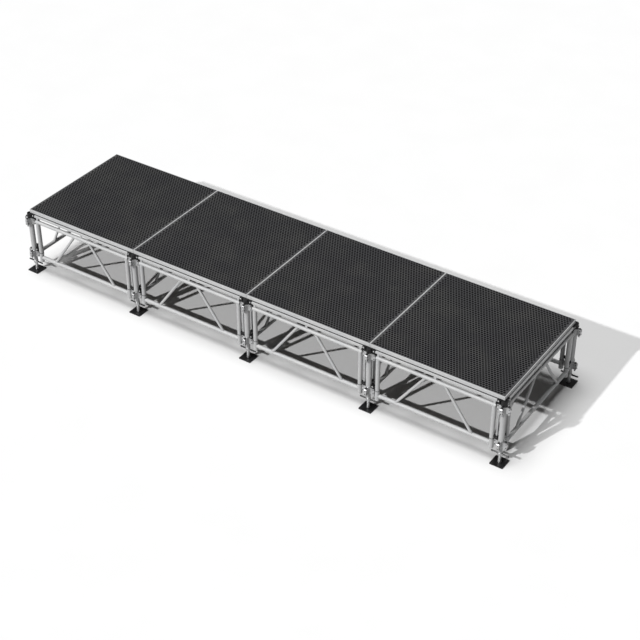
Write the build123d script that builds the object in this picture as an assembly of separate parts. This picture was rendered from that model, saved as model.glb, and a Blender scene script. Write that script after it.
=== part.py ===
from build123d import *
import os

# Stage riser: a row of square decks on aluminium truss frames, legs and screw jacks.
# The frame has +Z up, +X along the row and its origin on the floor under the row's centre.
# Legs stand on a square grid. Truss frames hang between them, and decks lie on the frames.

# ---------------------------------------------------------------- driving dimensions, mm
MODULES = 4                  # decks in the row
PITCH = 1220.0               # distance between neighbouring legs, along and across the row
DECK_TOP = 656.0             # walking surface above the floor
FIT = 0.1                    # radial clearance of a running fit
OVERCUT = 1.0                # how far a cutting shape runs past the face that it opens

# Decks
DECK_GAP = 2.0               # gap between neighbouring decks
DECK_DEPTH = 33.5            # height of the deck's edge profile
EDGE_WALL = 4.0              # outer wall of the edge profile, and width of its visible lip
EDGE_FLANGE = 30.0           # width of the profile's two flanges, outer wall included
FLANGE_THICK = 4.0
GROOVE_DEPTH = 1.5
GROOVE_HEIGHT = 3.0
BOARD_THICK = 18.0
BOARD_SINK = 0.5             # how far the board lies below the lip
BOARD_PLAY = 0.5             # gap between the board and the lip
JOISTS = 3
JOIST_WIDTH = 40.0
JOIST_WALL = 2.5
STRIP_HEIGHT = 10.0          # rubber strips between a deck and the rails under it
STRIP_WIDTH = 24.0
STRIP_INSET = 3.0            # strip's outer side, inside the deck's edge

# Truss frames
CHORD_R = 17.5               # top and bottom tubes
END_TUBE_R = 19.0
SLEEVE_R = 20.5
BRACE_R = 12.0
TUBE_WALL = 2.5
END_OFFSET = 84.0            # end tube's axis from the leg's axis
TOP_CHORD_DROP = 108.5       # top tube's axis below the walking surface
BOTTOM_CHORD_Z = 167.0
END_TUBE_FOOT = 123.0
SLEEVE_TOP = 216.0
BRACE_FOOT_SHARE = 0.29      # brace ends, as shares of the pitch from mid-frame
BRACE_HEAD_SHARE = 0.066
RAIL_HEIGHT = 18.0           # flat rail that the decks lie on
RAIL_WIDTH = 24.0
RAIL_WALL = 3.0
RAIL_SETBACK = 60.0          # rail's end from the leg's axis
SPACERS = 3                  # stubs that hold the rail above the top tube
SPACER_LENGTH = 20.0
SPACER_WIDTH = 8.0
CHORD_INSET = 2.0            # top tube's end inside the far face of the end tube

# Legs
LEG_R = 24.0
LEG_WALL = 3.0
LEG_FOOT = 229.0             # lower end of the wide tube
LEG_HEAD = 616.0
SHANK_R = 18.0               # narrower tube below the wide one
SHANK_WALL = 2.8
SHANK_FOOT = 108.0
REDUCER_TOP = 256.0
CAP_R = 27.0
CAP_FOOT = 574.0
CAP_HEAD = 619.5
CAP_EDGE_R = 2.0

# Couplers between legs and frames
RECEIVER_BASES = {"upper": 513.0, "lower": 163.0}
RECEIVER_HEIGHT = 59.0
RECEIVER_REACH = 58.0
RECEIVER_WIDTH = 22.0
RECEIVER_CHAMFER = 6.0
PIN_OFFSET = 42.0            # socket axis from the leg's axis
PIN_R = 8.0
SPIGOT_DEPTH = 23.0
PLUG_TAIL = 20.0             # length of a parked pin below its receiver
PLUG_HEAD_R = 10.5
PLUG_HEAD_HEIGHT = 8.0
PLUG_TIP_EDGE_R = 5.0
PLUG_HEAD_EDGE_R = 3.0
HOOK_INNER = 30.0            # upper hook's inner face from the leg's axis
HOOK_WIDTH = 30.0
HOOK_FOOT = 582.0
HOOK_CHAMFER = 3.0
HOOK_NECK_WIDTH = 20.0
HOOK_ARM_WIDTH = 16.0
HOOK_ARM_FOOT = 536.0
HOOK_ARM_REACH = 73.5        # arm's outer limit, just short of the rail's stub
HOOK_GAP = 0.5               # between a hook and the receiver under it
EYE_R = 15.0                 # round lower hook
EYE_Z = 244.0
EYE_WIDTH = 26.0
EYE_HOLE_R = 5.5
EYE_ARM_HEIGHT = 24.0
EYE_NECK_R = 11.0
ROD_FOOT = 199.0             # lock rod, at rest
ROD_HEAD = 521.0
ROD_GRIP_Z = 278.0
ROD_GRIP_R = 12.0
ROD_GRIP_HEIGHT = 12.0
ROD_CHAMFER = 1.5

# Screw jacks
PLATE_SIDE = 120.0
PLATE_THICK = 8.0
PLATE_CORNER_R = 6.0
PLATE_HOLE_R = 5.5
PLATE_HOLE_SPACING = 90.0
SPINDLE_R = 12.0             # core of the thread
SPINDLE_HEAD = 316.0
COLLAR_R = 17.0
COLLAR_HEIGHT = 6.0
NUT_BORE_R = 13.6
NUT_R = 21.0
NUT_FOOT = 80.0
NUT_HEAD = 107.7
NUT_CHAMFER = 2.0
HANDLE_R = 7.0
HANDLE_Z = 93.0
HANDLE_REACH = 80.0
HANDLE_EDGE_R = 3.0

# ---------------------------------------------------------------- derived places
DECK_SIDE = PITCH - DECK_GAP
DECK_BASE = DECK_TOP - DECK_DEPTH
BOARD_TOP = DECK_TOP - BOARD_SINK
BOARD_BASE = BOARD_TOP - BOARD_THICK
TOP_CHORD_Z = DECK_TOP - TOP_CHORD_DROP
RAIL_TOP = DECK_BASE - STRIP_HEIGHT
RAIL_BASE = RAIL_TOP - RAIL_HEIGHT
RAIL_END = PITCH / 2 - RAIL_SETBACK
HALF_ROW = MODULES * PITCH / 2
HALF_DEPTH = PITCH / 2
END_TUBE_U = PITCH / 2 - END_OFFSET
MODULE_XS = [(i + 0.5) * PITCH - HALF_ROW for i in range(MODULES)]
LEG_XS = [i * PITCH - HALF_ROW for i in range(MODULES + 1)]
LEG_PLACES = [(x, y) for y in (-HALF_DEPTH, HALF_DEPTH) for x in LEG_XS]
QUARTER_TURNS = (0, 90, 180, 270)


# ---------------------------------------------------------------- helpers
def block(x_range, y_range, z_range):
    """Box between the given limits."""
    limits = (x_range, y_range, z_range)
    sizes = [high - low for low, high in limits]
    middle = [(low + high) / 2 for low, high in limits]
    return Pos(*middle) * Box(*sizes)


def rod(start, end, radius):
    """Round bar from one point to another."""
    path = Vector(*end) - Vector(*start)
    aligned = (Align.CENTER, Align.CENTER, Align.MIN)
    return Plane(origin=start, z_dir=path) * Cylinder(radius, path.length, align=aligned)


def upright(x, y, low, high, radius):
    """Vertical round bar."""
    return rod((x, y, low), (x, y, high), radius)


def square_ring(outer, inner, low, high):
    """Square ring lying flat, with the given outer and inner sides."""
    frame = block((-outer / 2, outer / 2), (-outer / 2, outer / 2), (low, high))
    span = (-inner / 2, inner / 2)
    return frame - block(span, span, (low - OVERCUT, high + OVERCUT))


def save(name, shapes):
    """Write one node, made of one or more solids."""
    solids = [solid for shape in shapes for solid in shape.solids()]
    node = solids[0] if len(solids) == 1 else Compound(children=solids)
    export_step(node, f"parts/{name}.step")


# ---------------------------------------------------------------- decks
def deck_frame():
    """A deck's edge frame of four mitred profiles with a groove, its joists, and rubber strips."""
    flange_inner = DECK_SIDE - 2 * EDGE_FLANGE
    frame = square_ring(DECK_SIDE, DECK_SIDE - 2 * EDGE_WALL, DECK_BASE, DECK_TOP)
    frame += square_ring(DECK_SIDE, flange_inner, BOARD_BASE - FLANGE_THICK, BOARD_BASE)
    frame += square_ring(DECK_SIDE, flange_inner, DECK_BASE, DECK_BASE + FLANGE_THICK)
    groove_z = (DECK_BASE + DECK_TOP) / 2
    groove = (groove_z - GROOVE_HEIGHT / 2, groove_z + GROOVE_HEIGHT / 2)
    frame -= square_ring(DECK_SIDE + OVERCUT, DECK_SIDE - 2 * GROOVE_DEPTH, *groove)
    mitred = Polygon((0, 0), (-DECK_SIDE, -DECK_SIDE), (DECK_SIDE, -DECK_SIDE), align=None)
    side = frame & extrude(Pos(0, 0, DECK_BASE) * mitred, DECK_DEPTH)
    sides = [Rot(0, 0, turn) * side for turn in QUARTER_TURNS]
    joists = []
    for i in range(JOISTS):
        x = ((i + 1) / (JOISTS + 1) - 0.5) * DECK_SIDE
        walls = (x - JOIST_WIDTH / 2, x + JOIST_WIDTH / 2)
        ends = (-flange_inner / 2, flange_inner / 2)
        inside = (walls[0] + JOIST_WALL, walls[1] - JOIST_WALL)
        hollow = block(inside, (ends[0] - OVERCUT, ends[1] + OVERCUT),
                       (DECK_BASE + JOIST_WALL, BOARD_BASE - JOIST_WALL))
        joists.append(block(walls, ends, (DECK_BASE, BOARD_BASE)) - hollow)
    outer = DECK_SIDE / 2 - STRIP_INSET
    strip = block((-RAIL_END, RAIL_END), (-outer, STRIP_WIDTH - outer), (RAIL_TOP, DECK_BASE))
    strips = [Rot(0, 0, turn) * strip for turn in QUARTER_TURNS]
    return [*sides, *joists, *strips]


def deck_board():
    """Deck panel, laid into the edge frame."""
    half = DECK_SIDE / 2 - EDGE_WALL - BOARD_PLAY
    return block((-half, half), (-half, half), (BOARD_BASE, BOARD_TOP))


# ---------------------------------------------------------------- truss frames
def truss_frame():
    """Welded frame between two legs, along X: tubes, two braces, and the rail on its stubs."""
    def tubes(shrink, overrun):
        """Round tubes, thinner by `shrink`, with ends longer by `overrun`."""
        top = TOP_CHORD_Z
        chord = CHORD_R - shrink
        end_chord = END_TUBE_U + (0 if shrink else END_TUBE_R - CHORD_INSET)
        parts = rod((-end_chord, 0, top), (end_chord, 0, top), chord)
        parts += rod((-END_TUBE_U, 0, BOTTOM_CHORD_Z), (END_TUBE_U, 0, BOTTOM_CHORD_Z), chord)
        for side in (-1, 1):
            u = side * END_TUBE_U
            parts += upright(u, 0, END_TUBE_FOOT - overrun, top, END_TUBE_R - shrink)
            foot = (side * BRACE_FOOT_SHARE * PITCH, 0, BOTTOM_CHORD_Z)
            head = (side * BRACE_HEAD_SHARE * PITCH, 0, top)
            parts += rod(foot, head, BRACE_R - shrink)
            if not shrink:
                parts += upright(u, 0, END_TUBE_FOOT, SLEEVE_TOP, SLEEVE_R)
        return parts

    half, reach = RAIL_WIDTH / 2, SPACER_LENGTH / 2
    rail = block((-RAIL_END, RAIL_END), (-half, half), (RAIL_BASE, RAIL_TOP))
    rail -= block((-RAIL_END - OVERCUT, RAIL_END + OVERCUT), (RAIL_WALL - half, half - RAIL_WALL),
                  (RAIL_BASE + RAIL_WALL, RAIL_TOP - RAIL_WALL))
    frame = tubes(0, 0) + rail
    for i in range(SPACERS):
        u = (2 * i / (SPACERS - 1) - 1) * END_TUBE_U
        frame += block((u - reach, u + reach), (-SPACER_WIDTH / 2, SPACER_WIDTH / 2),
                       (TOP_CHORD_Z, RAIL_BASE))
    return frame - tubes(TUBE_WALL, OVERCUT)


# ---------------------------------------------------------------- legs
def leg_post():
    """Wide leg tube with the narrower tube welded into its lower end."""
    post = upright(0, 0, LEG_FOOT, LEG_HEAD, LEG_R)
    post -= upright(0, 0, REDUCER_TOP, LEG_HEAD + OVERCUT, LEG_R - LEG_WALL)
    post += upright(0, 0, SHANK_FOOT, REDUCER_TOP, SHANK_R)
    return post - upright(0, 0, SHANK_FOOT - OVERCUT, LEG_HEAD, SHANK_R - SHANK_WALL)


def leg_cap():
    """Cap over the top of a leg."""
    cap = upright(0, 0, CAP_FOOT, CAP_HEAD, CAP_R)
    cap = fillet(cap.edges().group_by(Axis.Z)[-1], CAP_EDGE_R)
    return cap - upright(0, 0, CAP_FOOT - OVERCUT, LEG_HEAD, LEG_R)


# ---------------------------------------------------------------- couplers, towards +X
def receiver(base, leg_radius):
    """Socket block on a leg, bored for a spigot, a lock rod or a parked pin."""
    half = RECEIVER_WIDTH / 2
    top = base + RECEIVER_HEIGHT
    body = block((leg_radius / 2, RECEIVER_REACH), (-half, half), (base, top))
    outer = body.edges().filter_by(Axis.Y).group_by(Axis.X)[-1]
    body = chamfer(outer, RECEIVER_CHAMFER)
    body -= upright(0, 0, base - OVERCUT, top + OVERCUT, leg_radius)
    return body - upright(PIN_OFFSET, 0, base - OVERCUT, top + OVERCUT, PIN_R + FIT)


def spigot(level):
    """Round spigot that a hook sets into the receiver under it."""
    top = RECEIVER_BASES[level] + RECEIVER_HEIGHT
    return upright(PIN_OFFSET, 0, top - SPIGOT_DEPTH, top + SPIGOT_DEPTH, PIN_R)


def end_tube_clearance():
    """Space that the frame's end tube takes up."""
    return upright(END_OFFSET, 0, END_TUBE_FOOT, TOP_CHORD_Z, END_TUBE_R)


def upper_hook():
    """Cast hook at a frame's top corner, from the rail's end to the leg, with a spigot."""
    half, neck, arm = HOOK_WIDTH / 2, HOOK_NECK_WIDTH / 2, HOOK_ARM_WIDTH / 2
    seat = RECEIVER_BASES["upper"] + RECEIVER_HEIGHT + HOOK_GAP
    body = block((HOOK_INNER, RAIL_SETBACK), (-half, half), (HOOK_FOOT, CAP_HEAD))
    body = chamfer(body.edges().group_by(Axis.X)[0], HOOK_CHAMFER)
    body += block((HOOK_INNER, RECEIVER_REACH), (-neck, neck), (seat, HOOK_FOOT))
    body += block((RECEIVER_REACH + HOOK_GAP, HOOK_ARM_REACH), (-arm, arm),
                  (HOOK_ARM_FOOT, HOOK_FOOT))
    chord_end = END_OFFSET - END_TUBE_R + CHORD_INSET
    chord = rod((chord_end, 0, TOP_CHORD_Z), (END_OFFSET, 0, TOP_CHORD_Z), CHORD_R)
    return body + spigot("upper") - end_tube_clearance() - chord


def lower_hook(has_spigot):
    """Round hook at a frame's bottom corner, with a spigot or a bore for the lock rod."""
    half, arm = EYE_WIDTH / 2, HOOK_ARM_WIDTH / 2
    seat = RECEIVER_BASES["lower"] + RECEIVER_HEIGHT + HOOK_GAP
    body = rod((PIN_OFFSET, -half, EYE_Z), (PIN_OFFSET, half, EYE_Z), EYE_R)
    body += block((PIN_OFFSET, END_OFFSET), (-arm, arm),
                  (EYE_Z - EYE_ARM_HEIGHT / 2, EYE_Z + EYE_ARM_HEIGHT / 2))
    body += upright(PIN_OFFSET, 0, seat, EYE_Z, EYE_NECK_R)
    body -= end_tube_clearance()
    if has_spigot:
        return body + spigot("lower")
    body -= upright(PIN_OFFSET, 0, seat - OVERCUT, EYE_Z + EYE_R + OVERCUT, PIN_R + FIT)
    through = half + OVERCUT
    return body - rod((PIN_OFFSET, -through, EYE_Z), (PIN_OFFSET, through, EYE_Z), EYE_HOLE_R)


def lock_rod():
    """Sliding rod that locks a frame's lower hook, with a finger grip."""
    body = upright(PIN_OFFSET, 0, ROD_FOOT, ROD_HEAD, PIN_R)
    body = chamfer(body.edges(), ROD_CHAMFER)
    grip = (ROD_GRIP_Z - ROD_GRIP_HEIGHT / 2, ROD_GRIP_Z + ROD_GRIP_HEIGHT / 2)
    return body + upright(PIN_OFFSET, 0, *grip, ROD_GRIP_R)


def parked_pin(base):
    """Headed pin kept in a receiver that holds no frame."""
    top = base + RECEIVER_HEIGHT
    pin = upright(PIN_OFFSET, 0, base - PLUG_TAIL, top, PIN_R)
    pin = fillet(pin.edges().group_by(Axis.Z)[0], PLUG_TIP_EDGE_R)
    head = upright(PIN_OFFSET, 0, top, top + PLUG_HEAD_HEIGHT, PLUG_HEAD_R)
    return pin + fillet(head.edges().group_by(Axis.Z)[-1], PLUG_HEAD_EDGE_R)


# ---------------------------------------------------------------- screw jacks
def jack_foot():
    """Base plate with bolt holes, and the spindle welded on it."""
    half, spread = PLATE_SIDE / 2, PLATE_HOLE_SPACING / 2
    plate = block((-half, half), (-half, half), (0, PLATE_THICK))
    plate = fillet(plate.edges().filter_by(Axis.Z), PLATE_CORNER_R)
    for x in (-spread, spread):
        for y in (-spread, spread):
            plate -= upright(x, y, -OVERCUT, PLATE_THICK + OVERCUT, PLATE_HOLE_R)
    plate += upright(0, 0, PLATE_THICK, PLATE_THICK + COLLAR_HEIGHT, COLLAR_R)
    return plate + upright(0, 0, PLATE_THICK, SPINDLE_HEAD, SPINDLE_R)


def jack_nut():
    """Nut under the leg's lower tube, with two bar handles."""
    nut = upright(0, 0, NUT_FOOT, NUT_HEAD, NUT_R)
    nut = chamfer(nut.edges(), NUT_CHAMFER)
    bar = rod((-HANDLE_REACH, 0, HANDLE_Z), (HANDLE_REACH, 0, HANDLE_Z), HANDLE_R)
    nut += fillet(bar.edges().filter_by(GeomType.CIRCLE), HANDLE_EDGE_R)
    return nut - upright(0, 0, NUT_FOOT - OVERCUT, NUT_HEAD + OVERCUT, NUT_BORE_R)


# ---------------------------------------------------------------- assembly
def couplers():
    """Every side of every leg: its place, its direction, and whether a frame meets it there."""
    for x, y in LEG_PLACES:
        for turn in QUARTER_TURNS:
            if turn in (0, 180):
                used = abs(x + (PITCH if turn == 0 else -PITCH)) <= HALF_ROW
            else:
                used = (turn == 90) == (y < 0)
            yield Pos(x, y, 0) * Rot(0, 0, turn), turn, used


def main():
    os.makedirs("parts", exist_ok=True)

    board, edge_frame = deck_board(), deck_frame()
    for i, x in enumerate(MODULE_XS, 1):
        save(f"deck_board_{i}", [Pos(x, 0, 0) * board])
        save(f"deck_frame_{i}", [Pos(x, 0, 0) * piece for piece in edge_frame])

    truss = truss_frame()
    for row, y in (("front", -HALF_DEPTH), ("back", HALF_DEPTH)):
        for i, x in enumerate(MODULE_XS, 1):
            save(f"{row}_truss_frame_{i}", [Pos(x, y, 0) * truss])
    for i, x in enumerate(LEG_XS, 1):
        save(f"cross_truss_frame_{i}", [Pos(x, 0, 0) * Rot(0, 0, 90) * truss])

    post, cap, foot, nut = leg_post(), leg_cap(), jack_foot(), jack_nut()
    for i, (x, y) in enumerate(LEG_PLACES, 1):
        save(f"leg_post_{i}", [Pos(x, y, 0) * post])
        save(f"jack_foot_{i}", [Pos(x, y, 0) * foot])
        save(f"jack_nut_{i}", [Pos(x, y, 0) * nut])
    save("leg_caps", [Pos(x, y, 0) * cap for x, y in LEG_PLACES])

    leg_radii = {"upper": LEG_R, "lower": SHANK_R}
    for level, base in RECEIVER_BASES.items():
        piece = receiver(base, leg_radii[level])
        save(f"coupler_receivers_{level}", [place * piece for place, _, _ in couplers()])
    pins = {base: parked_pin(base) for base in RECEIVER_BASES.values()}
    save("parked_pins", [place * pin for place, _, used in couplers() if not used
                         for pin in pins.values()])

    # A frame's far end, towards +X or +Y, meets its leg from the 180 or 270 degree side.
    upper, plain, bored, locker = upper_hook(), lower_hook(True), lower_hook(False), lock_rod()
    held = [(place, turn) for place, turn, used in couplers() if used]
    save("frame_hooks_upper", [place * upper for place, _ in held])
    save("frame_hooks_lower",
         [place * (bored if turn in (180, 270) else plain) for place, turn in held])
    far_ends = [(place, turn) for place, turn in held if turn in (180, 270)]
    rows = {"front": (180, -1), "back": (180, 1)}
    for row, (side, sign) in rows.items():
        save(f"lock_rods_{row}", [place * locker for place, turn in far_ends
                                  if turn == side and place.position.Y * sign > 0])
    save("lock_rods_cross", [place * locker for place, turn in far_ends if turn == 270])


main()
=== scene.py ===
"""Looks of the stage riser: finishes, fixings, screw threads, welds, floor, light and camera."""
import math
import random

import bpy
from mathutils import Matrix, Vector


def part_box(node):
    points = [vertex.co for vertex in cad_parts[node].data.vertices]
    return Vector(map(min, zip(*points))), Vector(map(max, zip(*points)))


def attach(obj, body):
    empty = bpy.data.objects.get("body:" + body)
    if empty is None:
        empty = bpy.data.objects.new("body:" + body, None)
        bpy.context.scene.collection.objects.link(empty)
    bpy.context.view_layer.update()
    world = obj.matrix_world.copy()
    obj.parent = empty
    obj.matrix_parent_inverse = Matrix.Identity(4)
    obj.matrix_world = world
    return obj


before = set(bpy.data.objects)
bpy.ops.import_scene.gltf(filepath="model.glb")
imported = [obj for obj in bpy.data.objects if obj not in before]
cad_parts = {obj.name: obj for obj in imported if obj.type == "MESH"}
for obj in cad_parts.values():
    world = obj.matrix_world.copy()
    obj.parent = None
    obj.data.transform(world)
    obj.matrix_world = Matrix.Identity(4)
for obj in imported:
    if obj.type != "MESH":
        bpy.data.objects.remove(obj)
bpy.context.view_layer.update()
random.seed(7)

MM = 0.001

# ---------------------------------------------------------------- places, from the frame
ROWS = 2
leg_boxes = [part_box(f"leg_post_{i}") for i in range(1, 11)]
LEGS = [(low + high) / 2 for low, high in leg_boxes]
PITCH = LEGS[1].x - LEGS[0].x
HALF_DEPTH = LEGS[-1].y
DECKS = len(LEGS) // ROWS - 1
LEG_R = (leg_boxes[0][1].x - leg_boxes[0][0].x) / 2
QUARTERS = [math.radians(angle) for angle in (0, 90, 180, 270)]
UP = Vector((0, 0, 1))

# ---------------------------------------------------------------- sizes of the details, metres
DOT_PITCH = 26 * MM            # raised anti-slip dots on the decks
DOT_R = 10.6 * MM
DOT_HEIGHT = 0.42 * MM
DOT_MARGIN = 14 * MM
DOT_SIDES = 8
THREAD_PITCH = 8 * MM          # round-topped thread on the spindles
THREAD_ROOT_R = 11.9 * MM
THREAD_CREST_R = 13.3 * MM
THREAD_FOOT_Z = 17 * MM
THREAD_HEAD_Z = 264 * MM
SHANK_R = 18 * MM
WELD_R = 2.1 * MM
SCREW_R = 4.6 * MM             # black cap screws on the receivers
BUSH_R = 5.6 * MM              # grey bushes between them
PIN_OFFSET = 42 * MM           # sockets, rods and eyes, from the leg's axis
RECEIVER_HALF = 11 * MM
SCREW_FOOT = 13 * MM           # screws above a receiver's foot and below its head
SCREW_HEAD = 12 * MM
SCREW_SETBACK = 9 * MM         # side screws and bushes behind a receiver's face
BUSH_SETBACK = 19 * MM
EYE_HALF = 13 * MM             # round lower hooks
EYE_Z = 244 * MM
HOOK_BOLT_REACH = 48 * MM      # bolts in the upper hooks, from the leg's axis and the hook's top
HOOK_BOLT_DROP = 13 * MM
COLLAR_WELD_R = 18 * MM
COLLAR_WELD_Z = 9 * MM
HANDLE_R = 7 * MM              # bars on the jack nuts
HANDLE_Z = 93 * MM

# ---------------------------------------------------------------- sizes of the frame, metres
CHORD_R = 17.5 * MM            # tubes of the truss frames
BRACE_R = 12 * MM
SLEEVE_R = 20.5 * MM
BOTTOM_CHORD_Z = 167 * MM
TOP_CHORD_Z = 547.5 * MM
BRACE_FOOT_SHARE = 0.29        # brace ends, as shares of the pitch from mid-frame
BRACE_HEAD_SHARE = 0.066
END_TUBE_OFFSET = 84 * MM      # end tube's axis, from the leg's axis
END_TUBE_REACH = 24 * MM       # just outside the sleeve on an end tube
SLEEVE_TOP = 216 * MM
RING_RISE = 1.5 * MM           # dark ring above a sleeve: its middle, and half its height
RING_HALF = 2.5 * MM
RAIL_SHADE_BASE = 612 * MM           # painted shade on the rails' tops under the decks starts here, just below the rails' top face
RAIL_SHADE_INSET = 1 * MM              # how far the rail's bare outer part reaches inside the legs' line
CREASE_SHADE_TOP = 622.2 * MM         # top of the black rubber strips under the decks: painted shade for the dark crease over the rails
PLATE_COAT_TOP = 8.6 * MM      # black coat: up to here on the jack feet,
HUB_R = 21.6 * MM              # outside this radius on the nuts,
PIN_HEADS = ((221.6 * MM, 231 * MM), (571.6 * MM, 581 * MM))  # and on the parked pins' heads

# ---------------------------------------------------------------- grain and tone of the metals
LINES = 620                    # drawing lines a metre, across them
DRAWN = 0.012                  # the same along them, as a share
ZINC_TONE = 0.42


# ---------------------------------------------------------------- finishes
class Finish:
    """A Principled material, with short calls for the nodes that drive it."""

    def __init__(self, name, **sockets):
        self.material = bpy.data.materials.new(name)
        self.material.use_nodes = True
        self.tree = self.material.node_tree
        self.surface = self.tree.nodes["Principled BSDF"]
        self.place = self.node("ShaderNodeTexCoord").outputs["Object"]
        self.feed(**sockets)

    def feed(self, **sockets):
        """Set or link the shader's sockets: base_color is Base Color, and so on."""
        for name, value in sockets.items():
            socket = name.replace("_", " ").title().replace("Ior", "IOR")
            self.put(self.surface.inputs[socket], value)

    def put(self, socket, value):
        """Link a node's output to a socket, or set its number or colour."""
        if isinstance(value, bpy.types.NodeSocket):
            self.tree.links.new(value, socket)
        elif isinstance(value, tuple) and len(value) == 3 and socket.type == "RGBA":
            socket.default_value = (*value, 1)
        else:
            socket.default_value = value

    def node(self, kind, inputs=None, **settings):
        made = self.tree.nodes.new(kind)
        for name, value in settings.items():
            setattr(made, name, value)
        for socket, value in (inputs or {}).items():
            self.put(made.inputs[socket], value)
        return made

    def noise(self, scale, stretch=(1, 1, 1), detail=3.0, roughness=0.5):
        """Noise from 0 to 1 with `scale` features a metre, drawn out where stretch is small."""
        spread = self.node("ShaderNodeMapping", {"Vector": self.place, "Scale": stretch})
        texture = self.node("ShaderNodeTexNoise", {
            "Vector": spread.outputs[0], "Scale": scale, "Detail": detail, "Roughness": roughness})
        return texture.outputs["Fac"]

    def cells(self, scale):
        """Random grey for each of `scale` crystal-like cells a metre."""
        texture = self.node("ShaderNodeTexVoronoi", {"Vector": self.place, "Scale": scale})
        return self.axis(0, texture.outputs["Color"])

    def span(self, value, low, high, out_low=0.0, out_high=1.0):
        """Map a value from low..high to another range, clamped and smooth."""
        mapped = self.node("ShaderNodeMapRange", {
            "Value": value, "From Min": low, "From Max": high,
            "To Min": out_low, "To Max": out_high}, interpolation_type="SMOOTHSTEP")
        return mapped.outputs[0]

    def math(self, operation, *values):
        made = self.node("ShaderNodeMath", dict(enumerate(values)), operation=operation)
        return made.outputs[0]

    def mix(self, share, first, second):
        """Colour between first and second."""
        made = self.node("ShaderNodeMix", data_type="RGBA")
        colours = [socket for socket in made.inputs if socket.type == "RGBA"]
        self.put(made.inputs[0], share)
        self.put(colours[0], first)
        self.put(colours[1], second)
        return next(socket for socket in made.outputs if socket.type == "RGBA")

    def blend(self, share, first, second):
        """Number between first and second."""
        return self.node("ShaderNodeMapRange", {
            "Value": share, "To Min": first, "To Max": second}).outputs[0]

    def axis(self, index, source=None):
        """X, Y or Z of the place, or of another vector."""
        return self.node("ShaderNodeSeparateXYZ", {0: source or self.place}).outputs[index]

    def facing(self, index):
        """How far the surface faces along one axis, 0 to 1 either way."""
        normal = self.node("ShaderNodeNewGeometry").outputs["Normal"]
        return self.math("ABSOLUTE", self.axis(index, normal))

    def wear(self, width):
        """1 on edges that stand out within `width`, 0 on flat faces."""
        smooth = self.node("ShaderNodeBevel", {"Radius": width}, samples=4).outputs[0]
        flat = self.node("ShaderNodeNewGeometry").outputs["Normal"]
        alike = self.node("ShaderNodeVectorMath", {0: smooth, 1: flat}, operation="DOT_PRODUCT")
        return self.span(alike.outputs["Value"], 0.985, 0.86)

    def bump(self, height, depth):
        """Push the surface in and out by `depth` metres."""
        made = self.node("ShaderNodeBump", {"Height": height, "Distance": depth, "Strength": 1.0})
        self.feed(normal=made.outputs[0])


def leg_distance(finish, index):
    """Distance along X (0) or Y (1) from the nearest leg's axis."""
    if index == 1:
        depth = finish.math("ABSOLUTE", finish.axis(1))
        return finish.math("ABSOLUTE", finish.math("SUBTRACT", depth, HALF_DEPTH))
    return finish.math("PINGPONG", finish.axis(0), PITCH / 2)


def mill_aluminium(name, lines, tone=0.35, gloss=0.60, dark=None):
    """Mill finish: drawing lines, cloudy oxide, dark scuffs, and black where dark(finish) is 1, which
    is dark rings and painted shade in creases.
    """
    finish = Finish(name)
    cloud = finish.noise(5, detail=5)
    patches = finish.span(finish.noise(38, detail=4), 0.35, 0.75)
    grain = lines(finish)
    tint = finish.mix(finish.span(cloud, 0.3, 0.7), (tone * 0.93, tone * 0.94, tone * 0.95),
                      (tone, tone, tone * 0.995))
    tint = finish.mix(finish.math("MULTIPLY", patches, 0.35), tint,
                      (tone * 0.86, tone * 0.87, tone * 0.88))
    tint = finish.mix(finish.span(grain, 0.56, 0.74, 0, 0.35), tint,
                      (tone * 0.72, tone * 0.72, tone * 0.73))
    scuff = finish.span(finish.noise(95, stretch=(1, 1, 0.6), detail=6, roughness=0.7), 0.67, 0.76)
    tint = finish.mix(finish.math("MULTIPLY", scuff, 0.5), tint,
                      (tone * 0.45, tone * 0.45, tone * 0.47))
    rough = finish.blend(finish.span(grain, 0.35, 0.65), gloss, gloss + 0.16)
    rough = finish.math("ADD", rough, finish.math("MULTIPLY", patches, 0.08))
    metal = 0.22
    if dark:
        # dark(finish) is 1 on dark rings above sleeves and on painted shade under the decks
        share = dark(finish)
        tint = finish.mix(share, tint, finish.mix(patches, (0.010, 0.010, 0.010),
                                                  (0.018, 0.018, 0.018)))
        metal = finish.blend(share, metal, 0.0)
    finish.feed(base_color=tint, roughness=rough, metallic=metal)
    finish.bump(grain, 0.05 * MM)
    return finish.material


def straight_lines(stretch):
    """Drawing lines all one way."""
    return lambda finish: finish.noise(LINES, stretch=stretch, detail=2)


def frame_lines(index):
    """Drawing lines along the frame, and upright ones on its end tubes."""
    along = (DRAWN, 1, 1) if index == 0 else (1, DRAWN, 1)

    def lines(finish):
        flat = finish.noise(LINES, stretch=along, detail=2)
        upright = finish.noise(LINES, stretch=(1, 1, DRAWN), detail=2)
        outside = END_TUBE_OFFSET + END_TUBE_REACH
        tube = finish.span(leg_distance(finish, index), outside, outside - 6 * MM)
        return finish.blend(tube, flat, upright)
    return lines


def edge_lines(finish):
    """Drawing lines along each side of a deck's edge profile."""
    along_x = finish.noise(LINES, stretch=(DRAWN, 1, 1), detail=2)
    along_y = finish.noise(LINES, stretch=(1, DRAWN, 1), detail=2)
    return finish.blend(finish.span(finish.facing(0), 0.4, 0.6), along_x, along_y)


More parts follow.
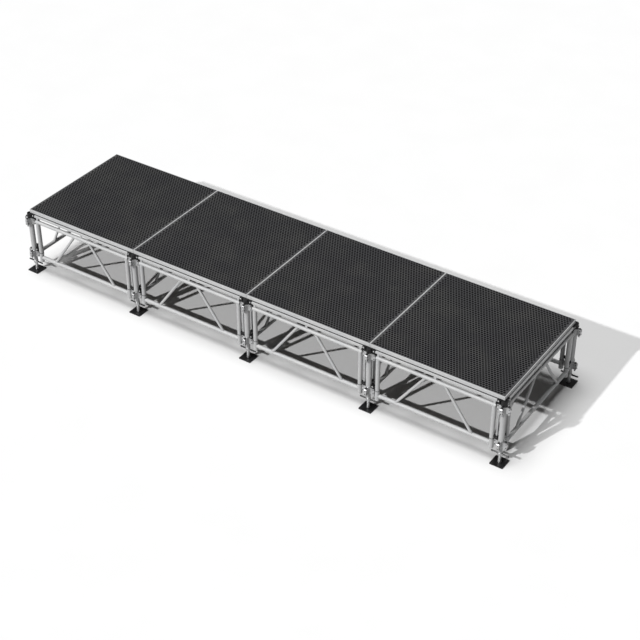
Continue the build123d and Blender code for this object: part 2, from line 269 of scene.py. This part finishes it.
def deck_film():
    """Dark phenolic film: fine pebbling, dust, faint scuffs, brown underneath."""
    finish = Finish("deck_film", specular_ior_level=0.08)
    dust = finish.span(finish.noise(3.2, detail=6, roughness=0.6), 0.38, 0.72)
    fine = finish.noise(420, detail=2)
    scuffs = finish.span(finish.noise(26, stretch=(1, 0.22, 1), detail=5, roughness=0.75), 0.63, 0.70)
    top = finish.mix(dust, (0.039, 0.039, 0.041), (0.050, 0.050, 0.049))
    top = finish.mix(finish.math("MULTIPLY", scuffs, 0.3), top, (0.055, 0.054, 0.052))
    top = finish.mix(finish.span(fine, 0.45, 0.62, 0, 0.3), top, (0.016, 0.016, 0.017))
    normal = finish.node("ShaderNodeNewGeometry").outputs["Normal"]
    under = finish.span(finish.axis(2, normal), 0.1, -0.1)
    grain = finish.noise(60, stretch=(0.06, 1, 1), detail=4)
    veneer = finish.mix(grain, (0.036, 0.024, 0.016), (0.055, 0.038, 0.026))
    finish.feed(base_color=finish.mix(under, top, veneer),
                roughness=finish.blend(dust, 0.50, 0.66))
    finish.bump(fine, 0.12 * MM)
    return finish.material


def dot_rubber():
    """Black anti-slip dots, worn a little on top."""
    finish = Finish("dot_rubber", specular_ior_level=0.03)
    worn = finish.span(finish.noise(4, detail=6, roughness=0.65), 0.5, 0.75)
    speck = finish.noise(900, detail=2)
    colour = finish.mix(worn, (0.002, 0.002, 0.0022), (0.005, 0.005, 0.005))
    finish.feed(base_color=colour, roughness=finish.blend(speck, 0.55, 0.8))
    finish.bump(speck, 0.06 * MM)
    return finish.material


def black_coat(name):
    """Black powder coat: orange peel, dust, and metal showing on the edges."""
    finish = Finish(name, specular_ior_level=0.2)
    peel = finish.noise(720, detail=2)
    dust = finish.span(finish.noise(24, detail=5), 0.42, 0.78)
    chips = finish.math("MULTIPLY", finish.wear(0.8 * MM),
                        finish.span(finish.noise(150, detail=4), 0.46, 0.60))
    colour = finish.mix(dust, (0.004, 0.004, 0.0042), (0.009, 0.009, 0.0095))
    finish.feed(base_color=finish.mix(chips, colour, (0.14, 0.14, 0.145)), metallic=chips,
                roughness=finish.blend(dust, 0.36, 0.56))
    finish.bump(peel, 0.10 * MM)
    return finish.material


def zinc_nodes(finish, tone):
    """Colour and roughness of zinc plating: crystals, cloudy film, dirt in the grain."""
    crystal = finish.cells(240)
    cloud = finish.span(finish.noise(30, detail=5), 0.35, 0.7)
    colour = finish.mix(crystal, (tone * 0.90, tone * 0.91, tone * 0.93), (tone, tone, tone))
    colour = finish.mix(finish.math("MULTIPLY", cloud, 0.5), colour,
                        (tone * 0.80, tone * 0.80, tone * 0.79))
    stain = finish.span(finish.noise(110, detail=6, roughness=0.7), 0.64, 0.76)
    colour = finish.mix(finish.math("MULTIPLY", stain, 0.55), colour,
                        (tone * 0.35, tone * 0.34, tone * 0.32))
    return colour, finish.blend(crystal, 0.30, 0.44)


def zinc(name, tone=ZINC_TONE, grain=(1, 1, 1)):
    """Zinc-plated steel."""
    finish = Finish(name, metallic=0.7)
    colour, rough = zinc_nodes(finish, tone)
    finish.feed(base_color=colour, roughness=rough)
    finish.bump(finish.noise(520, stretch=grain, detail=3), 0.06 * MM)
    return finish.material


def two_tone(name, black_share):
    """Zinc plating and black coat on one piece, black where black_share(finish) is 1."""
    finish = Finish(name)
    share = black_share(finish)
    silver, silver_rough = zinc_nodes(finish, ZINC_TONE)
    dust = finish.span(finish.noise(26, detail=5), 0.42, 0.78)
    coat = finish.mix(dust, (0.005, 0.005, 0.0055), (0.012, 0.012, 0.0125))
    chips = finish.math("MULTIPLY", finish.wear(0.8 * MM),
                        finish.span(finish.noise(120, detail=4), 0.46, 0.60))
    coat = finish.mix(chips, coat, (0.16, 0.16, 0.165))
    bare = finish.math("SUBTRACT", 1.0, finish.math("MULTIPLY", share, finish.math(
        "SUBTRACT", 1.0, chips)))
    coat_rough = finish.blend(dust, 0.30, 0.50)
    finish.feed(base_color=finish.mix(share, silver, coat), metallic=bare,
                roughness=finish.blend(share, silver_rough, coat_rough))
    finish.bump(finish.noise(640, detail=3), 0.08 * MM)
    return finish.material


def below(height):
    """1 below a height, 0 above it."""
    return lambda finish: finish.span(finish.axis(2), height + 0.2 * MM, height)


def sleeve_rings_and_rail_shade(index):
    """1 on a dark ring just above the end tubes' sleeves, and, on the front and back frames, painted
    shade on the rails' tops under the decks.
    """
    def share(finish):
        height = finish.axis(2)
        ring = finish.math("COMPARE", height, SLEEVE_TOP + RING_RISE, RING_HALF)
        ring = finish.math("MULTIPLY", ring, finish.math(
            "LESS_THAN", leg_distance(finish, index), END_TUBE_OFFSET + END_TUBE_REACH))
        # painted shade: the rails' tops inside the legs' line, under the decks, are black on the front
        # and back frames only
        depth = finish.math("ABSOLUTE", finish.axis(1))
        inside = finish.math("LESS_THAN", depth, HALF_DEPTH - RAIL_SHADE_INSET)
        under = finish.math("MULTIPLY", inside, finish.math("GREATER_THAN", height, RAIL_SHADE_BASE))
        return ring if index else finish.math("MAXIMUM", ring, under)
    return share


def outside_hub(radius):
    """1 away from every leg's axis, 0 within the given radius of one."""
    def share(finish):
        along, across = leg_distance(finish, 0), leg_distance(finish, 1)
        squares = finish.math("ADD", finish.math("MULTIPLY", along, along),
                              finish.math("MULTIPLY", across, across))
        return finish.span(finish.math("SQRT", squares), radius, radius + 0.3 * MM)
    return share


def between(*bands):
    """1 inside any of the height bands."""
    def share(finish):
        total = None
        for low, high in bands:
            inside = finish.math("MULTIPLY", finish.math("GREATER_THAN", finish.axis(2), low),
                                 finish.math("LESS_THAN", finish.axis(2), high))
            total = inside if total is None else finish.math("ADD", total, inside)
        return total
    return share


# ---------------------------------------------------------------- mesh making
class Shape:
    """One mesh grown out of turned and swept bodies."""

    def __init__(self):
        self.points, self.faces = [], []

    def rings(self, rings, closed=False):
        """Skin a list of equal rings of points, end to end or round in a loop."""
        first, sides = len(self.points), len(rings[0])
        for ring in rings:
            self.points += [tuple(point) for point in ring]
        for i in range(len(rings) if closed else len(rings) - 1):
            low, high = first + i * sides, first + (i + 1) % len(rings) * sides
            for k in range(sides):
                after = (k + 1) % sides
                self.faces.append((low + k, low + after, high + after, high + k))
        if not closed:
            self.faces.append(tuple(first + k for k in reversed(range(sides))))
            last = first + (len(rings) - 1) * sides
            self.faces.append(tuple(last + k for k in range(sides)))

    def turned(self, place, profile, sides=12):
        """Body of revolution about the place's Z axis. A third profile value of 6 makes a hexagon."""
        rings = []
        for radius, height, *corners in profile:
            ring = []
            for k in range(sides):
                reach = radius
                if corners and k % 2:
                    reach = radius * math.cos(math.pi / corners[0])
                angle = 2 * math.pi * k / sides
                ring.append(place @ Vector((reach * math.cos(angle), reach * math.sin(angle), height)))
            rings.append(ring)
        self.rings(rings)

    def bead(self, path, radius=WELD_R, sides=6):
        """Weld bead along a closed path, with the ripples that the welder leaves."""
        count = len(path)
        rings = []
        for i, point in enumerate(path):
            along = (path[(i + 1) % count] - path[i - 1]).normalized()
            turn = along.to_track_quat("Z", "Y").to_matrix()
            swell = radius * (0.86 + 0.20 * (i % 3 == 0) + random.uniform(-0.06, 0.06))
            rings.append([point + turn @ Vector((swell * math.cos(a), swell * math.sin(a), 0))
                          for a in (2 * math.pi * k / sides for k in range(sides))])
        self.rings(rings, closed=True)

    def piece(self, name, material, body, slot):
        """Make the object, and let it ride on its body."""
        mesh = bpy.data.meshes.new(name)
        mesh.from_pydata(self.points, [], self.faces)
        mesh.validate()
        mesh.materials.append(material)
        made = bpy.data.objects.new(name, mesh)
        bpy.context.scene.collection.objects.link(made)
        mesh.shade_smooth()
        mesh.set_sharp_from_angle(angle=math.radians(38))
        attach(made, body)


def facing(place, normal):
    """Matrix that puts Z along normal at place."""
    return Matrix.Translation(place) @ Vector(normal).to_track_quat("Z", "Y").to_matrix().to_4x4()


def outward(leg, angle, reach, height, aside=0.0):
    """Point at a leg: `reach` out from its axis at an angle, and `aside` across that."""
    out = Vector((math.cos(angle), math.sin(angle), 0))
    across = Vector((-math.sin(angle), math.cos(angle), 0))
    return Vector((leg.x, leg.y, height)) + out * reach + across * aside


def branch_path(start, direction, radius, main_point, main_axis, main_radius, count=54):
    """Closed line where a round branch meets a round main tube."""
    direction = direction.normalized()
    first = direction.orthogonal().normalized()
    second = direction.cross(first)

    def across(vector):
        return vector - main_axis * vector.dot(main_axis)

    path = []
    for k in range(count):
        angle = 2 * math.pi * k / count
        edge = start + (first * math.cos(angle) + second * math.sin(angle)) * radius
        away, slope = across(edge - main_point), across(direction)
        a, b, c = slope.dot(slope), away.dot(slope), away.dot(away) - main_radius ** 2
        path.append(edge + direction * ((-b + math.sqrt(max(b * b - a * c, 0))) / a))
    return path


# ---------------------------------------------------------------- detail pieces
def antislip_dots(index, material):
    """Raised dots on one deck, in staggered rows."""
    low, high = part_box(f"deck_board_{index}")
    row_step = DOT_PITCH * math.sqrt(3) / 2
    width = high.x - low.x - 2 * DOT_MARGIN
    depth = high.y - low.y - 2 * DOT_MARGIN
    rows, columns = int(depth / row_step) + 1, int(width / DOT_PITCH)
    left = (low.x + high.x - (columns - 0.5) * DOT_PITCH) / 2
    front = (low.y + high.y - (rows - 1) * row_step) / 2
    shape = Shape()
    profile = [(DOT_R, -0.05 * MM), (DOT_R * 0.9, DOT_HEIGHT * 0.8), (DOT_R * 0.55, DOT_HEIGHT)]
    for row in range(rows):
        for column in range(columns):
            x = left + (column + 0.5 * (row % 2)) * DOT_PITCH
            place = Matrix.Translation((x, front + row * row_step, high.z))
            shape.turned(place, profile, sides=DOT_SIDES)
    shape.piece(f"antislip_dots_{index}", material, "stage", "deck_surface")


def spindle_thread(index, material):
    """Thread on one spindle, with run-outs at both ends."""
    leg, sides, run_out = LEGS[index - 1], 24, 18
    count = round((THREAD_HEAD_Z - THREAD_FOOT_Z) / THREAD_PITCH * sides)
    rings = []
    for k in range(count + 1):
        angle, z = 2 * math.pi * k / sides, THREAD_FOOT_Z + THREAD_PITCH * k / sides
        rise = min(k, count - k, run_out) / run_out
        crest = THREAD_ROOT_R + (THREAD_CREST_R - THREAD_ROOT_R) * rise
        flank = [(THREAD_ROOT_R, -0.34), (crest, -0.17), (crest, 0.17), (THREAD_ROOT_R, 0.34)]
        rings.append([(leg.x + r * math.cos(angle), leg.y + r * math.sin(angle), z + h * THREAD_PITCH)
                      for r, h in flank])
    shape = Shape()
    shape.rings(rings)
    shape.piece(f"spindle_thread_{index}", material, f"foot_{index}", "jack_steel")


def plate_weld(index, material):
    """Bead round the collar on one base plate."""
    leg, count = LEGS[index - 1], 60
    path = [outward(leg, 2 * math.pi * k / count, COLLAR_WELD_R, COLLAR_WELD_Z) for k in range(count)]
    shape = Shape()
    shape.bead(path, radius=1.8 * MM)
    shape.piece(f"plate_weld_{index}", material, f"foot_{index}", "jack_steel")


def nut_welds(index, material):
    """Beads where the two bars meet one nut's hub."""
    leg = LEGS[index - 1]
    low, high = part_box(f"jack_nut_{index}")
    hub_r = (high.y - low.y) / 2
    centre = Vector((leg.x, leg.y, HANDLE_Z))
    shape = Shape()
    for side in (-1, 1):
        path = branch_path(centre, Vector((side, 0, 0)), HANDLE_R, centre, UP, hub_r, count=36)
        shape.bead(path, radius=1.5 * MM)
    shape.piece(f"nut_welds_{index}", material, f"nut_{index}", "nut_casting")


def cap_screw(shape, place, radius=SCREW_R):
    """Round-headed screw with a hexagon socket."""
    height = 2.2 * MM
    shape.turned(place, [
        (radius, -0.5 * MM), (radius, height * 0.55), (radius * 0.86, height),
        (radius * 0.52, height, 6), (radius * 0.50, height * 0.2, 6)])


def bush(shape, place):
    """Hollow rivet."""
    shape.turned(place, [
        (BUSH_R, -0.5 * MM), (BUSH_R, 0.9 * MM), (BUSH_R * 0.86, 1.4 * MM),
        (BUSH_R * 0.6, 1.4 * MM), (BUSH_R * 0.5, 0.3 * MM)])


def receiver_fixings(level, screw_material, bush_material):
    """Screws and bushes on every receiver of one level."""
    low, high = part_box(f"coupler_receivers_{level}")
    reach = high.x - LEGS[-1].x
    screws, bushes = Shape(), Shape()
    for leg in LEGS:
        for angle in QUARTERS:
            out = Vector((math.cos(angle), math.sin(angle), 0))
            across = Vector((-math.sin(angle), math.cos(angle), 0))
            for height in (low.z + SCREW_FOOT, high.z - SCREW_HEAD):
                cap_screw(screws, facing(outward(leg, angle, reach, height), out), SCREW_R * 0.9)
                for side in (-1, 1):
                    spot = outward(leg, angle, reach - SCREW_SETBACK, height, side * RECEIVER_HALF)
                    cap_screw(screws, facing(spot, across * side))
            for side in (-1, 1):
                spot = outward(leg, angle, reach - BUSH_SETBACK, (low.z + high.z) / 2,
                               side * RECEIVER_HALF)
                bush(bushes, facing(spot, across * side))
    screws.piece(f"receiver_screws_{level}", screw_material, "stage", "black_casting")
    bushes.piece(f"receiver_bushes_{level}", bush_material, "stage", "receiver_zinc")


def receiver_welds(level, leg_radius, material):
    """Beads that hold the receivers of one level on their legs."""
    low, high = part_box(f"coupler_receivers_{level}")
    half = math.asin(RECEIVER_HALF / leg_radius)
    rise, arc = 18, 6
    shape = Shape()
    for leg in LEGS:
        for angle in QUARTERS:
            def spot(turn, z):
                return outward(leg, angle + turn, leg_radius + 0.3 * MM, z)
            up = [spot(half, low.z + (high.z - low.z) * k / rise) for k in range(rise)]
            over = [spot(half - 2 * half * k / arc, high.z) for k in range(arc)]
            down = [spot(-half, high.z - (high.z - low.z) * k / rise) for k in range(rise)]
            back = [spot(-half + 2 * half * k / arc, low.z) for k in range(arc)]
            shape.bead(up + over + down + back, radius=1.7 * MM, sides=5)
    shape.piece(f"receiver_welds_{level}", material, "stage", "leg_tube")


def truss_welds(node, along, material):
    """Beads round the tube joints of one truss frame."""
    low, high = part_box(node)
    middle = (low + high) / 2
    end_u = PITCH / 2 - END_TUBE_OFFSET

    def at(u, z):
        return Vector((middle.x, middle.y, z)) + along * u

    shape = Shape()
    for side in (-1, 1):
        foot = at(side * BRACE_FOOT_SHARE * PITCH, BOTTOM_CHORD_Z)
        head = at(side * BRACE_HEAD_SHARE * PITCH, TOP_CHORD_Z)
        shape.bead(branch_path(foot, head - foot, BRACE_R, foot, along, CHORD_R))
        shape.bead(branch_path(head, foot - head, BRACE_R, head, along, CHORD_R))
        joint = at(side * end_u, BOTTOM_CHORD_Z)
        shape.bead(branch_path(joint, along * -side, CHORD_R, joint, UP, SLEEVE_R, count=72))
    shape.piece(f"{node}_welds", material, "stage", "frame_tube")


def bolt_heads(name, material, quarters, reach, height, half, profile):
    """Bright bolt heads on both sides of the hooks, wherever a frame meets a leg."""
    shape = Shape()
    for leg in LEGS:
        for angle in quarters:
            far = outward(leg, angle, PITCH, 0)
            if abs(far.x) > LEGS[-1].x + PITCH / 2 or abs(far.y) > HALF_DEPTH + PITCH / 2:
                continue
            across = Vector((-math.sin(angle), math.cos(angle), 0))
            for side in (-1, 1):
                spot = outward(leg, angle, reach, height, side * half)
                shape.turned(facing(spot, across * side), profile)
    shape.piece(name, material, "stage", "pin_steel")


def eye_bolts(material):
    """Bolts in the round lower hooks that have no lock rod."""
    bolt_heads("eye_bolts", material, QUARTERS[:2], PIN_OFFSET, EYE_Z, EYE_HALF, [
        (7.5 * MM, -0.5 * MM), (7.5 * MM, 0.7 * MM), (7.0 * MM, 1.0 * MM),
        (5.6 * MM, 1.0 * MM, 6), (5.6 * MM, 3.4 * MM, 6), (4.4 * MM, 4.1 * MM)])


def hook_bolts(material):
    """Bolts through the upper hooks."""
    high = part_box("frame_hooks_upper")[1]
    half = high.y - HALF_DEPTH
    bolt_heads("hook_bolts", material, QUARTERS, HOOK_BOLT_REACH, high.z - HOOK_BOLT_DROP, half, [
        (6.5 * MM, -0.5 * MM), (6.5 * MM, 0.8 * MM), (5.8 * MM, 0.8 * MM, 6),
        (5.8 * MM, 3.8 * MM, 6), (4.6 * MM, 4.4 * MM)])


# ---------------------------------------------------------------- the model
def finish_node(name, material):
    """Give a CAD node its finish."""
    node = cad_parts[name]
    node.data.materials.clear()
    node.data.materials.append(material)


def dress_frame():
    """Finishes for every CAD node."""
    cast, plated = black_coat("black_casting"), zinc("receiver_zinc")
    # painted shade: the rubber strips under the deck edges are black, standing for the dark crease
    # between deck and rail
    edge = mill_aluminium("edge_aluminium", edge_lines, tone=0.39, gloss=0.54, dark=below(CREASE_SHADE_TOP))
    post = mill_aluminium("leg_aluminium", straight_lines((1, 1, DRAWN)), tone=0.34)
    # painted shade on the front and back rails' tops under the decks, besides the dark rings above the
    # sleeves
    tube_x = mill_aluminium("tube_aluminium_x", frame_lines(0), dark=sleeve_rings_and_rail_shade(0))
    tube_y = mill_aluminium("tube_aluminium_y", frame_lines(1), dark=sleeve_rings_and_rail_shade(1))
    film = deck_film()
    foot = two_tone("jack_foot", below(PLATE_COAT_TOP))
    nut = two_tone("jack_nut", outside_hub(HUB_R))
    pin = two_tone("parked_pin", between(*PIN_HEADS))
    rod = zinc("lock_rod", grain=(1, 1, 0.03))
    for i in range(1, DECKS + 1):
        finish_node(f"deck_board_{i}", film)
        finish_node(f"deck_frame_{i}", edge)
        finish_node(f"front_truss_frame_{i}", tube_x)
        finish_node(f"back_truss_frame_{i}", tube_x)
    for i in range(1, DECKS + 2):
        finish_node(f"cross_truss_frame_{i}", tube_y)
    for i in range(1, len(LEGS) + 1):
        finish_node(f"leg_post_{i}", post)
        finish_node(f"jack_foot_{i}", foot)
        finish_node(f"jack_nut_{i}", nut)
    for row in ("front", "back", "cross"):
        finish_node(f"lock_rods_{row}", rod)
    for level in ("upper", "lower"):
        finish_node(f"coupler_receivers_{level}", plated)
        finish_node(f"frame_hooks_{level}", cast)
    finish_node("leg_caps", cast)
    finish_node("parked_pins", pin)


def add_details():
    """Small pieces that ride on the frame."""
    dot, steel, weld = dot_rubber(), zinc("spindle_zinc", tone=0.40), zinc("weld_metal", tone=0.36)
    screw = black_coat("screw_black")
    for i in range(1, DECKS + 1):
        antislip_dots(i, dot)
        truss_welds(f"front_truss_frame_{i}", Vector((1, 0, 0)), weld)
        truss_welds(f"back_truss_frame_{i}", Vector((1, 0, 0)), weld)
    for i in range(1, DECKS + 2):
        truss_welds(f"cross_truss_frame_{i}", Vector((0, 1, 0)), weld)
    for i in range(1, len(LEGS) + 1):
        spindle_thread(i, steel)
        plate_weld(i, screw)
        nut_welds(i, steel)
    for level, radius in (("upper", LEG_R), ("lower", SHANK_R)):
        receiver_fixings(level, screw, steel)
        receiver_welds(level, radius, weld)
    eye_bolts(steel)
    hook_bolts(steel)


# ---------------------------------------------------------------- floor, light and camera
def make_floor():
    """Plain pale floor."""
    finish = Finish("floor", roughness=0.75, specular_ior_level=0.1)
    finish.feed(base_color=finish.mix(finish.noise(2.0), (0.49, 0.49, 0.49), (0.51, 0.51, 0.51)))
    half = 120
    mesh = bpy.data.meshes.new("floor")
    mesh.from_pydata([(-half, -half, 0), (half, -half, 0), (half, half, 0), (-half, half, 0)], [],
                     [(0, 1, 2, 3)])
    mesh.materials.append(finish.material)
    floor = bpy.data.objects.new("floor", mesh)
    bpy.context.scene.collection.objects.link(floor)


def add_sun(name, towards, strength, width):
    """Distant lamp. A point of the object casts its shadow -towards times its height away."""
    sun = bpy.data.lights.new(name, "SUN")
    sun.energy, sun.angle = strength, math.radians(width)
    lamp = bpy.data.objects.new(name, sun)
    lamp.rotation_euler = Vector((*towards, 1)).to_track_quat("Z", "Y").to_euler()
    bpy.context.scene.collection.objects.link(lamp)


def make_light():
    """Low key light from the front left, a broad one from above, and a dim even sky."""
    add_sun("key", (-0.456, -1.4), strength=3.95, width=1.2)
    add_sun("overhead", (-0.12, -0.08), strength=3.8, width=38)
    world = bpy.data.worlds.new("sky")
    world.use_nodes = True
    sky = world.node_tree.nodes["Background"].inputs
    sky["Color"].default_value, sky["Strength"].default_value = (1, 1, 1, 1), 0.10
    bpy.context.scene.world = world
    bpy.context.scene.view_settings.view_transform = "Standard"


def make_camera():
    """Long lens, from the front right and above."""
    azimuth, elevation, distance = math.radians(33.92), math.radians(35.85), 12.75
    target = Vector((0.436, -0.155, 0.30))
    back = Vector((math.sin(azimuth) * math.cos(elevation),
                   -math.cos(azimuth) * math.cos(elevation), math.sin(elevation)))
    camera = bpy.data.objects.new("camera", bpy.data.cameras.new("camera"))
    camera.data.lens, camera.data.sensor_width = 83.8, 36
    camera.location = target + back * distance
    camera.rotation_euler = back.to_track_quat("Z", "Y").to_euler()
    bpy.context.scene.collection.objects.link(camera)
    bpy.context.scene.camera = camera


make_camera()
dress_frame()
add_details()
make_floor()
make_light()
